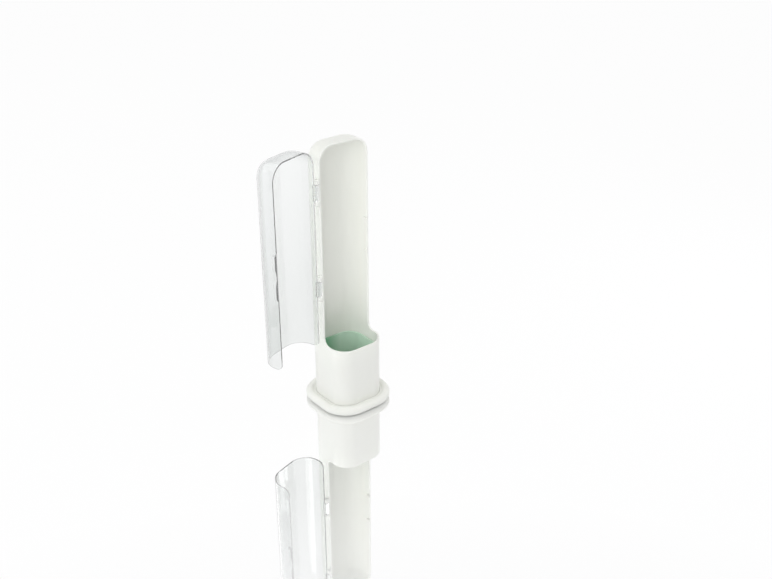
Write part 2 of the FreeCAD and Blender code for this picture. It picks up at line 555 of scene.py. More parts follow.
def declare(tree: bpy.types.NodeTree, inputs: dict[str, str], outputs: dict[str, str]) -> None:
    """Gives a tree its sockets.

    Args:
        tree: The tree.
        inputs: Kind of each input under its name.
        outputs: Kind of each output under its name.
    """
    for way, sockets in (("INPUT", inputs), ("OUTPUT", outputs)):
        for name, kind in sockets.items():
            tree.interface.new_socket(name=name, in_out=way, socket_type=f"NodeSocket{kind}")


class GeometryTree:
    """A geometry node tree with named inputs, which an object's modifier sets."""

    def __init__(self, name: str, inputs: dict[str, str]) -> None:
        """Makes the tree's sockets and nodes.

        Args:
            name: Name of the tree.
            inputs: Kind of each input of its own under its name.
        """
        self.tree = bpy.data.node_groups.new(name, "GeometryNodeTree")
        inputs = {"Geometry": "Geometry", **inputs, "Material": "Material"}
        declare(self.tree, inputs, {"Mesh": "Geometry"})
        self.book = NodeBook(self.tree)
        self.given = self.book.add("NodeGroupInput").outputs
        self.build()

    def build(self) -> None:
        """Adds the tree's own nodes; each tree has its own."""
        raise NotImplementedError

    def end(self, geometry: bpy.types.NodeSocket) -> None:
        """Ends the tree with real geometry in the given material.

        Args:
            geometry: The output that holds the tree's work.
        """
        book = self.book
        real = book.feed(book.add("GeometryNodeRealizeInstances"), geometry)
        dressed = book.add("GeometryNodeSetMaterial")
        book.fill(dressed, Geometry=real, Material=self.given["Material"])
        book.fill(book.add("NodeGroupOutput"), Mesh=dressed.outputs[0])

    def apply(self, obj: bpy.types.Object, **values: object) -> bpy.types.Object:
        """Runs the tree on an object with these inputs and keeps the result as its mesh.

        Args:
            obj: The object.
            values: Inputs by name, with an underscore for each space.

        Returns:
            The same object.
        """
        modifier = obj.modifiers.new(self.tree.name, "NODES")
        modifier.node_group = self.tree
        for name, value in values.items():
            item = self.tree.interface.items_tree[name.replace("_", " ")]
            modifier[item.identifier] = value
        return set_solid(obj)


class PlanSweep(GeometryTree):
    """Carries a profile round the plan. The profile's X is the way out and its -Y the way up."""

    def __init__(self) -> None:
        """Names the tree's inputs."""
        lengths = {"Half X": "Float", "Half Y": "Float", "Corner Radius": "Float"}
        super().__init__("plan_sweep", {**lengths, "Arc Steps": "Int"})

    def build(self) -> None:
        """Rounded rectangle, with the profile along it."""
        book, given = self.book, self.given
        square = book.add("GeometryNodeCurvePrimitiveQuadrilateral")
        width = book.maths("MULTIPLY", given["Half X"], 2.0)
        depth = book.maths("MULTIPLY", given["Half Y"], 2.0)
        book.fill(square, Width=width, Height=depth)
        rounded = book.add("GeometryNodeFilletCurve", mode="POLY")
        book.fill(rounded, Curve=square.outputs[0], Count=given["Arc Steps"])
        book.fill(rounded, Radius=given["Corner Radius"])
        upright = book.feed(book.add("GeometryNodeSetCurveNormal", mode="Z_UP"), rounded.outputs[0])
        profile = book.feed(book.add("GeometryNodeMeshToCurve"), given["Geometry"])
        swept = book.add("GeometryNodeCurveToMesh")
        book.fill(swept, Curve=upright, Profile_Curve=profile)
        self.end(swept.outputs[0])

    def sweep(
        self, name: str, plan: Plan, profile: Outline, ring: bool,
        material: bpy.types.Material,
    ) -> bpy.types.Object:
        """Solid with this profile all round the plan.

        Args:
            name: Name of the piece.
            plan: The plan that the profile's insets are measured from.
            profile: Inset and height of each point, in order.
            ring: True for a closed profile, False for one whose two ends are closed by flats.
            material: The finish.

        Returns:
            The closed solid.
        """
        count = len(profile)
        joints = [(i, i + 1) for i in range(count - 1)]
        mesh = bpy.data.meshes.new(name)
        points = [(-inset, -height, 0.0) for inset, height in profile]
        mesh.from_pydata(points, joints + ([(count - 1, 0)] if ring else []), [])
        obj = self.apply(
            new_object(mesh, name), Half_X=plan.half_x, Half_Y=plan.half_y,
            Corner_Radius=plan.corner_radius, Arc_Steps=plan.arc_steps, Material=material,
        )
        face_outwards(obj.data, close_holes=not ring)
        return obj


class HingeRow(GeometryTree):
    """Repeats a barrel up the hinge: one or two of them, spread about each of several centres."""

    def __init__(self) -> None:
        """Names the tree's inputs."""
        counts = {"Centres": "Int", "Per Centre": "Int"}
        heights = {"First Height": "Float", "Height Step": "Float", "Spread": "Float"}
        super().__init__("hinge_row", {**counts, **heights})

    def build(self) -> None:
        """A line of points at each point of a line, with the barrel on each."""
        book, given = self.book, self.given
        centres = self.upright_line(given["Centres"], given["First Height"], given["Height Step"])
        steps = book.maths("SUBTRACT", given["Per Centre"], 1.0)
        half_down = book.maths("MULTIPLY", steps, -0.5)
        lowest = book.maths("MULTIPLY", half_down, given["Spread"])
        pair = self.upright_line(given["Per Centre"], lowest, given["Spread"])
        places = book.add("GeometryNodeInstanceOnPoints")
        book.fill(places, Points=centres, Instance=pair)
        real = book.feed(book.add("GeometryNodeRealizeInstances"), places.outputs[0])
        barrels = book.add("GeometryNodeInstanceOnPoints")
        book.fill(barrels, Points=real, Instance=given["Geometry"])
        self.end(barrels.outputs[0])

    def upright_line(
        self, count: bpy.types.NodeSocket, low: bpy.types.NodeSocket, step: bpy.types.NodeSocket
    ) -> bpy.types.NodeSocket:
        """Points one above the other.

        Args:
            count: How many.
            low: Height of the lowest.
            step: Distance between them.

        Returns:
            The points.
        """
        book = self.book
        start, offset = book.add("ShaderNodeCombineXYZ"), book.add("ShaderNodeCombineXYZ")
        book.fill(start, Z=low)
        book.fill(offset, Z=step)
        line = book.add("GeometryNodeMeshLine", mode="OFFSET")
        book.fill(line, Count=count, Start_Location=start.outputs[0], Offset=offset.outputs[0])
        return line.outputs[0]


# ---------------------------------------------------------------- finishes


def tone(red: float, green: float, blue: float) -> Rgba:
    """Linear colour of a tone as it shows on a screen.

    Args:
        red: From 0 to 255, as green and blue are.
        green: The same.
        blue: The same.

    Returns:
        The colour, opaque.
    """
    full, straight_end, straight_slope, offset, power = 255, 0.04045, 12.92, 0.055, 2.4
    shown = (value / full for value in (red, green, blue))
    linear = [
        v / straight_slope if v <= straight_end else ((v + offset) / (1 + offset)) ** power for v in shown
    ]
    return (*linear, 1.0)


class SurfaceGroups:
    """Shader node groups that several finishes place with their own values."""

    def __init__(self) -> None:
        """Builds each group once."""
        self.drift = self.build_drift()
        self.grain = self.build_grain()

    def start(self, name: str, inputs: dict[str, str], outputs: dict[str, str]) -> NodeBook:
        """Starts a group.

        Args:
            name: Name of the group.
            inputs: Kind of each input under its name.
            outputs: Kind of each output under its name.

        Returns:
            The book that the group's nodes go into.
        """
        tree = bpy.data.node_groups.new(name, "ShaderNodeTree")
        declare(tree, inputs, outputs)
        return NodeBook(tree)

    def build_drift(self) -> bpy.types.NodeTree:
        """Slow change of colour and roughness, drawn out along the mould's height.

        Returns:
            The group.
        """
        tones = {"Tone A": "Color", "Tone B": "Color"}
        gloss = {"Roughness A": "Float", "Roughness B": "Float"}
        inputs = {"Scale": "Float", "Stretch": "Float", **tones, **gloss}
        book = self.start("moulding_drift", inputs, {"Color": "Color", "Roughness": "Float"})
        given = book.add("NodeGroupInput").outputs
        place = book.add("ShaderNodeTexCoord").outputs["Object"]
        squeeze = book.add("ShaderNodeCombineXYZ")
        book.fill(squeeze, X=1.0, Y=1.0, Z=given["Stretch"])
        drawn = book.feed(book.add("ShaderNodeVectorMath", operation="MULTIPLY"), place, squeeze.outputs[0])
        cloud = book.add("ShaderNodeTexNoise")
        book.fill(cloud, Vector=drawn, Scale=given["Scale"], Detail=4.0, Roughness=0.6)
        share = cloud.outputs["Fac"]
        book.fill(
            book.add("NodeGroupOutput"),
            Color=book.mix(Mixed.COLOUR, share, given["Tone A"], given["Tone B"]),
            Roughness=book.mix(Mixed.NUMBER, share, given["Roughness A"], given["Roughness B"]),
        )
        return book.tree

    def build_grain(self) -> bpy.types.NodeTree:
        """Height of a moulded skin: fine spark grain over slow ripples from the tool.

        Returns:
            The group.
        """
        names = ("Grain Scale", "Grain Depth", "Ripple Scale", "Ripple Depth")
        book = self.start("moulded_skin", {name: "Float" for name in names}, {"Height": "Float"})
        given = book.add("NodeGroupInput").outputs
        place = book.add("ShaderNodeTexCoord").outputs["Object"]
        heights = []
        for layer, detail in (("Grain", 2.0), ("Ripple", 1.0)):
            noise = book.add("ShaderNodeTexNoise")
            book.fill(noise, Vector=place, Scale=given[f"{layer} Scale"], Detail=detail)
            heights.append(book.maths("MULTIPLY", noise.outputs["Fac"], given[f"{layer} Depth"]))
        book.fill(book.add("NodeGroupOutput"), Height=book.maths("ADD", *heights))
        return book.tree


@dataclass(frozen=True)
class Skin:
    """What every finish has: its tones, its gloss and the texture that the mould leaves."""

    tone_a: Rgba
    tone_b: Rgba
    rough_a: float
    rough_b: float
    drift_scale: float = 40.0
    stretch: float = 0.35
    grain_scale: float = 2600.0
    grain_depth: float = 0.004 * MM
    ripple_scale: float = 60.0
    ripple_depth: float = 0.05 * MM


@dataclass(frozen=True)
class Finish:
    """A finish with a name: its skin and the values that are the same all over it."""

    name: str
    skin: Skin
    ior: float = 1.5
    metallic: float = 0.0
    transmission: float = 0.0
    subsurface: float = 0.0
    subsurface_radius: Triple = (1.0, 1.0, 1.0)
    subsurface_scale: float = 2 * MM

    def material(self, groups: SurfaceGroups) -> bpy.types.Material:
        """Makes the material of this finish.

        Args:
            groups: The groups that finishes share.

        Returns:
            The material.
        """
        made = bpy.data.materials.new(self.name)
        made.use_nodes = True
        book = NodeBook(made.node_tree)
        skin = self.skin
        drift = book.add("ShaderNodeGroup", node_tree=groups.drift)
        book.fill(drift, Scale=skin.drift_scale, Tone_A=skin.tone_a, Tone_B=skin.tone_b)
        book.fill(drift, Roughness_A=skin.rough_a, Roughness_B=skin.rough_b, Stretch=skin.stretch)
        grain = book.add("ShaderNodeGroup", node_tree=groups.grain)
        book.fill(grain, Grain_Scale=skin.grain_scale, Grain_Depth=skin.grain_depth)
        book.fill(grain, Ripple_Scale=skin.ripple_scale, Ripple_Depth=skin.ripple_depth)
        bump = book.add("ShaderNodeBump")
        book.fill(bump, Strength=1.0, Distance=1.0, Height=grain.outputs["Height"])
        shader = made.node_tree.nodes["Principled BSDF"]
        book.fill(shader, IOR=self.ior, Metallic=self.metallic, Transmission_Weight=self.transmission)
        book.fill(shader, Subsurface_Weight=self.subsurface, Subsurface_Radius=self.subsurface_radius)
        book.fill(shader, Subsurface_Scale=self.subsurface_scale, Normal=bump.outputs["Normal"])
        book.fill(shader, Base_Color=self.surface_colour(book, drift.outputs["Color"]))
        book.fill(shader, Roughness=drift.outputs["Roughness"])
        surface = self.surface(book, shader.outputs[0])
        book.fill(made.node_tree.nodes["Material Output"], Surface=surface)
        return made

    def surface_colour(self, book: NodeBook, base: bpy.types.NodeSocket) -> bpy.types.NodeSocket:
        """The colour that reaches the shader; a plain finish shows its drift as it is."""
        return base

    def surface(self, book: NodeBook, shader: bpy.types.NodeSocket) -> bpy.types.NodeSocket:
        """What the material ends in; a solid finish ends in its shader and stops the lamps."""
        return shader


@dataclass(frozen=True)
class ClearFinish(Finish):
    """Plastic that is seen through, so that lamps light what is behind it as well."""

    lamp_tone: Rgba = (0.9, 0.9, 0.9, 1.0)
    guided_tone: Rgba = (0.6, 0.6, 0.6, 1.0)
    guided_bounces: float = 3.5

    def surface(self, book: NodeBook, shader: bpy.types.NodeSocket) -> bpy.types.NodeSocket:
        """Lets the rays from lamps straight through, and lets out what runs along inside the wall.

        Args:
            book: The material's nodes.
            shader: The plastic.

        Returns:
            The plastic with its open side.
        """
        path = book.add("ShaderNodeLightPath").outputs
        guided = book.maths("GREATER_THAN", path["Glossy Depth"], self.guided_bounces)
        loss = book.mix(Mixed.COLOUR, guided, self.lamp_tone, self.guided_tone)
        open_side = book.feed(book.add("ShaderNodeBsdfTransparent"), loss)
        return book.choose(book.maths("MAXIMUM", path["Is Shadow Ray"], guided), shader, open_side)


@dataclass(frozen=True)
class GradedClearFinish(ClearFinish):
    """Clear or tinted plastic with painted light and shade: its tone pales steadily along one direction."""

    painted_light_tone: Rgba = FULL_WHITE
    painted_light_way: Triple = (0.0, 0.0, 0.0)
    painted_light_start: float = 0.0

    def surface_colour(self, book: NodeBook, base: bpy.types.NodeSocket) -> bpy.types.NodeSocket:
        """The drift, turned to the paler tone of the painted light along the way that it pales.

        Args:
            book: The material's nodes.
            base: The drift's colour.

        Returns:
            The graded colour.
        """
        along = book.add("ShaderNodeVectorMath", operation="DOT_PRODUCT")
        book.feed(along, book.add("ShaderNodeTexCoord").outputs["Object"], self.painted_light_way)
        share = book.maths("SUBTRACT", along.outputs["Value"], self.painted_light_start)
        return book.mix(Mixed.COLOUR, share, base, self.painted_light_tone)


@dataclass(frozen=True)
class EdgedClearFinish(GradedClearFinish):
    """Glass-clear plastic with a deeper tone where its wall is seen edge-on."""

    edge_on_tone: Rgba = (0.5, 0.5, 0.5, 1.0)
    edge_on_power: float = 2.0

    def surface_colour(self, book: NodeBook, base: bpy.types.NodeSocket) -> bpy.types.NodeSocket:
        """The graded tone, turned to the deeper one edge-on.

        Args:
            book: The material's nodes.
            base: The drift's colour.

        Returns:
            The colour.
        """
        facing = book.add("ShaderNodeLayerWeight")
        book.fill(facing, Blend=EVEN_BLEND)
        grazing = book.maths("POWER", facing.outputs["Facing"], self.edge_on_power)
        return book.mix(Mixed.COLOUR, grazing, super().surface_colour(book, base), self.edge_on_tone)


WHITE = Finish(
    name="white_plastic", ior=1.5, subsurface=0.5, subsurface_scale=2.5 * MM,
    skin=Skin(tone_a=tone(243, 244, 239), tone_b=tone(239, 240, 234), rough_a=0.3, rough_b=0.4),
)
CLEAR = EdgedClearFinish(
    name="clear_plastic", ior=1.49, transmission=1.0, edge_on_tone=(0.48, 0.49, 0.49, 1.0),
    # painted shade and light: the door's tone is deeper low at its hinge side and pales towards its top and
    # free side
    painted_light_tone=tone(253, 254, 254), painted_light_way=(-9.0, 0.0, 4.0), painted_light_start=1.0,
    skin=Skin(
        tone_a=tone(240, 242, 241), tone_b=tone(237, 239, 238), rough_a=0.015, rough_b=0.05,
        grain_depth=0.0, ripple_scale=35.0, ripple_depth=0.08 * MM,
    ),
    lamp_tone=(0.92, 0.93, 0.93, 1.0),
)
GREEN = GradedClearFinish(
    name="green_plastic", ior=1.5, transmission=0.15,
    # painted shade and light: the cup's tone is deepest at its back left corner and pales towards its front
    # right
    painted_light_tone=tone(231, 252, 236), painted_light_way=(40.0, -40.0, 0.0), painted_light_start=-1.7,
    skin=Skin(
        tone_a=tone(112, 198, 150), tone_b=tone(106, 192, 143), rough_a=0.12, rough_b=0.2,
        grain_depth=0.002 * MM,
    ),
    lamp_tone=tone(170, 215, 190),
)
STEEL = Finish(
    name="ground_steel", ior=2.5, metallic=1.0,
    skin=Skin(
        tone_a=tone(252, 252, 250), tone_b=tone(246, 247, 247), rough_a=0.2, rough_b=0.3,
        stretch=0.1, drift_scale=900.0, grain_depth=0.002 * MM,
    ),
)
SEAL_RUBBER = Finish(
    name="seal_rubber", ior=1.45,
    skin=Skin(
        tone_a=tone(206, 208, 204), tone_b=tone(196, 198, 194), rough_a=0.5, rough_b=0.62,
        grain_scale=1800.0, grain_depth=0.01 * MM,
    ),
)
PAD_RUBBER = Finish(
    name="pad_rubber", ior=1.45,
    skin=Skin(
        tone_a=tone(178, 180, 177), tone_b=tone(166, 168, 165), rough_a=0.6, rough_b=0.72,
        grain_scale=1500.0, grain_depth=0.015 * MM,
    ),
)


# ---------------------------------------------------------------- hinge


@dataclass(frozen=True)
class Hinge:
    """The door's hinge: lugs on the case's edge, knuckles on the door's and a pin through each set."""

    axis_x: float
    axis_y: float
    open_angle: float
    low_centre: float
    high_centre: float
    barrel_radius: float = 2.5 * MM
    leaf_reach: float = 4.0 * MM
    knuckle_length: float = 17.5 * MM
    lug_length: float = 5.0 * MM
    end_gap: float = 0.3 * MM
    pin_radius: float = 1.0 * MM
    running_gap: float = 0.05 * MM
    edge_radius: float = 0.35 * MM
    arc_steps: int = 28

    @classmethod
    def from_frame(cls) -> "Hinge":
        """The hinge where the frame's joint and pins have it.

        Returns:
            The hinge.
        """
        joint = next(j for j in frame["joints"] if j["child"] == Body.DOOR.value)
        centres = [
            sum(corner.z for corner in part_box(f"hinge_pin_{name}")) / 2 for name in ("lower", "upper")
        ]
        x, y, _ = joint["pos_m"]
        return cls(x, y, -math.radians(joint["range_deg"][0]), *centres)

    def section(self, half: Half, near: float) -> Outline:
        """Barrel and leaf, cut across.

        Args:
            half: The half of the case that the leaf is on.
            near: Distance of the leaf's near face from the parting plane.

        Returns:
            The outline as points in X and Y.
        """
        first = math.asin(near / self.barrel_radius)
        sweep = 3 * QUARTER + first
        leaf_end = self.axis_x + self.leaf_reach
        points = [(leaf_end, self.axis_y + half.value * near)]
        for step in range(self.arc_steps + 1):
            angle = half.value * (first - sweep * step / self.arc_steps)
            x = self.axis_x + self.barrel_radius * math.cos(angle)
            points.append((x, self.axis_y + self.barrel_radius * math.sin(angle)))
        return points + [(leaf_end, self.axis_y + half.value * self.barrel_radius)]

    def barrels(self, row: HingeRow, half: Half, near: float) -> bpy.types.Object:
        """All the barrels of one side: a pair of lugs at each pin, or one knuckle.

        Args:
            row: The tree that repeats them.
            half: Back for the lugs, front for the knuckles.
            near: Distance of the leaf's near face from the parting plane.

        Returns:
            The barrels, as one object.
        """
        lugs = half is Half.BACK
        length = self.lug_length if lugs else self.knuckle_length
        name = "lugs" if lugs else "knuckles"
        barrel = prism(name, self.section(half, near), -length / 2, length / 2)
        round_edges(barrel, self.edge_radius)
        return row.apply(
            barrel, Centres=2, First_Height=self.low_centre,
            Height_Step=self.high_centre - self.low_centre, Per_Centre=2 if lugs else 1,
            Spread=self.knuckle_length + 2 * self.end_gap + self.lug_length,
        )

    def bore(self, play: float) -> bpy.types.Object:
        """Rod on the axis that cuts the holes for the pins, this much wider than they are.

        Args:
            play: What is added to the radius.

        Returns:
            The rod.
        """
        radius = self.pin_radius + play
        turns = [math.tau * step / self.arc_steps for step in range(self.arc_steps)]
        circle = [(self.axis_x + radius * math.cos(a), self.axis_y + radius * math.sin(a)) for a in turns]
        reach = self.knuckle_length + self.lug_length
        return prism("bore", circle, self.low_centre - reach, self.high_centre + reach)

    def swing(self, mesh: bpy.types.Mesh) -> None:
        """Swings the shut door's mesh to the angle at which it stands open.

        Args:
            mesh: The mesh, shut.
        """
        axis = Vector((self.axis_x, self.axis_y, 0.0))
        turn = Matrix.Rotation(-self.open_angle, 4, "Z")
        mesh.transform(Matrix.Translation(axis) @ turn @ Matrix.Translation(-axis))


# ---------------------------------------------------------------- sub-assemblies


@dataclass(frozen=True)
class CaseShell:
    """White case: the closed tube that holds the cup, and the back shell above it."""

    plan: Plan
    hinge: Hinge
    bottom: float
    rows: ShellRows
    parting: Parting = Parting()
    wall: float = 2.3 * MM
    edge_radius: float = 0.55 * MM
    tube_rows: int = 4
    back_marks: tuple[float, ...] = (0.0, 3 * MM, 7 * MM)
    tab_gap: float = 0.35 * MM
    tab_thickness: float = 1.6 * MM
    tab_reach: float = 3.0 * MM
    tab_root: float = 4.0 * MM
    tab_root_start: float = 0.4 * MM
    tab_length: float = 16.0 * MM
    tab_centres: tuple[float, float] = (169.25 * MM, 206.75 * MM)

    @classmethod
    def from_frame(cls, plan: Plan, hinge: Hinge) -> "CaseShell":
        """The case at the heights that the frame gives."""
        low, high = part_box("case_shell")
        return cls(plan=plan, hinge=hinge, bottom=low.z, rows=ShellRows(top=high.z))

    def sheet(self) -> Sheet:
        """Outside of the case, without its wall.

        Returns:
            The sheet.
        """
        back = self.plan.half_loop(Half.BACK, self.back_marks)
        loop = back + self.plan.half_loop(Half.FRONT, self.parting.marks()[1:])
        sheet = Sheet()
        below = sheet.row((s.place(0, self.bottom), s.outward(0)) for s in loop)
        for step in range(1, self.tube_rows + 1):
            share = step / self.tube_rows
            heights = [self.bottom + (self.parting.height(s.y) - self.bottom) * share for s in loop]
            above = sheet.row((s.place(0, h), s.outward(0)) for s, h in zip(loop, heights))
            sheet.bridge(below, above, closed=True)
            below = above
        self.rows.cover(sheet, back, below[: len(back)])
        return sheet

    def catch_tab(self, centre: float) -> bpy.types.Object:
        """Tab inside the free edge that the shut door closes round.

        Args:
            centre: Height of its middle.

        Returns:
            The tab.
        """
        inside = self.plan.half_x - self.wall
        outer = inside - self.tab_gap
        inner = outer - self.tab_thickness
        root = inside + self.wall / 2
        section = [(inner, -self.tab_reach), (outer, -self.tab_reach), (outer, self.tab_root_start)]
        section += [(root, self.tab_root_start), (root, self.tab_root), (inner, self.tab_root)]
        half = self.tab_length / 2
        tab = prism("catch_tab", section, centre - half, centre + half)
        return round_edges(tab, self.edge_radius / 2)

    def make(self, row: HingeRow, material: bpy.types.Material) -> bpy.types.Object:
        """The case as one moulding, in its finish and on its body.

        Args:
            row: The tree that repeats the lugs.
            material: The finish.

        Returns:
            The case.
        """
        shell = new_object(self.sheet().thick("case", self.wall), "case")
        round_edges(shell, self.edge_radius)
        lugs = self.hinge.barrels(row, Half.BACK, 0.0)
        tabs = [self.catch_tab(centre) for centre in self.tab_centres]
        combine(shell, [lugs, *tabs], Join.UNITE)
        combine(shell, [self.hinge.bore(0.0)], Join.CUT)
        return dress(shell, material, Body.CASE, "case_shell")


@dataclass(frozen=True)
class Door:
    """Clear half shell with its knuckles and its finger pull, standing open."""

    plan: Plan
    hinge: Hinge
    rows: ShellRows
    parting: Parting = Parting(gap=0.4 * MM)
    wall: float = 1.5 * MM
    edge_radius: float = 0.3 * MM
    pull_centre: float = 188 * MM
    pull_length: float = 55 * MM
    pull_depth: float = 4.0 * MM
    pull_proud: float = 2.2 * MM
    pull_ramp: float = 5.0 * MM
    pull_root: float = 1.3 * MM
    pull_edge_radius: float = 0.6 * MM
    pull_setback: float = 0.25
    scoop_length: float = 20 * MM
    scoop_drop: float = 1.4 * MM
    curve_steps: int = 10

    @classmethod
    def from_frame(cls, plan: Plan, hinge: Hinge) -> "Door":
        """The door at the height that the frame gives."""
        return cls(plan=plan, hinge=hinge, rows=ShellRows(top=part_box("door")[1].z))

    def sheet(self) -> Sheet:
        """Outside of the shut door, without its wall.

        Returns:
            The sheet.
        """
        loop = self.plan.half_loop(Half.FRONT, self.parting.marks())
        sheet = Sheet()
        foot = sheet.row((s.place(0, self.parting.height(s.y)), s.outward(0)) for s in loop)
        self.rows.cover(sheet, loop, foot)
        return sheet

    def pull_outline(self) -> Outline:
        """The pull from the side: distance from the middle plane and height.

        Returns:
            The outline.
        """
        face = self.plan.half_x + self.pull_proud
        inner = self.plan.half_x - self.pull_root
        half, rise = self.pull_length / 2, self.pull_proud / 2
        steps = self.curve_steps
        end = [
            (face - rise - rise * math.cos(math.pi * s / steps), -half + self.pull_ramp * s / steps)
            for s in range(steps + 1)
        ]
        reach = self.scoop_length / 2
        scoop_radius = (reach**2 + self.scoop_drop**2) / (2 * self.scoop_drop)
        rest = scoop_radius - self.scoop_drop
        scoop = []
        for step in range(-steps, steps + 1):
            along = reach * step / steps
            scoop.append((face - math.sqrt(scoop_radius**2 - along**2) + rest, along))
        far_end = [(x, -z) for x, z in reversed(end)]
        outline = [(inner, -half), *end, *scoop, *far_end, (inner, half)]
        return [(x, z + self.pull_centre) for x, z in outline]

    def pull(self) -> bpy.types.Object:
        """Rib along the free edge with a scoop for a fingertip.

        Returns:
            The rib.
        """
        near = -(self.parting.gap + self.edge_radius * self.pull_setback)
        pull = prism("pull", self.pull_outline(), near - self.pull_depth, near, axes=(0, 2, 1))
        return round_edges(pull, self.pull_edge_radius)

    def make(self, row: HingeRow, material: bpy.types.Material) -> bpy.types.Object:
        """The door as one moulding, in its finish and on its body.

        Args:
            row: The tree that repeats the knuckles.
            material: The finish.

        Returns:
            The door.
        """
        door = new_object(self.sheet().thick("swing_door", self.wall), "swing_door")
        round_edges(door, self.edge_radius)
        knuckles = self.hinge.barrels(row, Half.FRONT, self.parting.gap)
        combine(door, [knuckles, self.pull()], Join.UNITE)
        combine(door, [self.hinge.bore(self.hinge.running_gap)], Join.CUT)
        self.hinge.swing(door.data)
        return dress(door, material, Body.DOOR, "door")


def arc(centre: tuple[float, float], radius: float, start: float, end: float, steps: int = 6) -> Outline:
    """Points of an arc in a profile, from one way out of its centre to another, in degrees."""
    angles = [math.radians(start + (end - start) * step / steps) for step in range(steps + 1)]
    return [(centre[0] + radius * math.cos(a), centre[1] + radius * math.sin(a)) for a in angles]


@dataclass(frozen=True)
class WaterCup:
    """Translucent green cup that tapers down into the foot's plug."""

    plan: Plan
    bottom: float
    rim: float
    rim_inset: float = 3.0 * MM
    foot_inset: float = 5.192 * MM
    wall: float = 1.5 * MM
    floor: float = 2.0 * MM
    foot_radius: float = 3.0 * MM
    rim_radius: float = 0.6 * MM
    middle_inset: float = 15 * MM

    @classmethod
    def from_frame(cls, plan: Plan) -> "WaterCup":
        """The cup at the heights that the frame gives."""
        low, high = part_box("water_cup")
        return cls(plan=plan, bottom=low.z, rim=high.z)

    def profile(self) -> Outline:
        """From the middle of the underside up over the rim to the middle of the inner floor.

        Returns:
            Inset and height of each point.
        """
        lip, foot, inner = self.rim_radius, self.foot_radius, self.foot_radius - self.wall
        outer_corner = (self.foot_inset + foot, self.bottom + foot)
        outer_lip = (self.rim_inset + lip, self.rim - lip)
        inner_lip = (self.rim_inset + self.wall - lip, self.rim - lip)
        inner_corner = (self.foot_inset + self.wall + inner, self.bottom + self.floor + inner)
        return [
            (self.middle_inset, self.bottom),
            *arc(outer_corner, foot, DOWN, OUTWARD),
            *arc(outer_lip, lip, OUTWARD, UP),
            *arc(inner_lip, lip, UP, INWARD),
            *arc(inner_corner, inner, OUTWARD, DOWN),
            (self.middle_inset, self.bottom + self.floor),
        ]

    def make(self, sweep: PlanSweep, material: bpy.types.Material) -> bpy.types.Object:
        """The cup in its finish and on its body."""
        cup = sweep.sweep("cup", self.plan, self.profile(), ring=False, material=material)
        return dress(cup, material, Body.CUP, "water_cup")


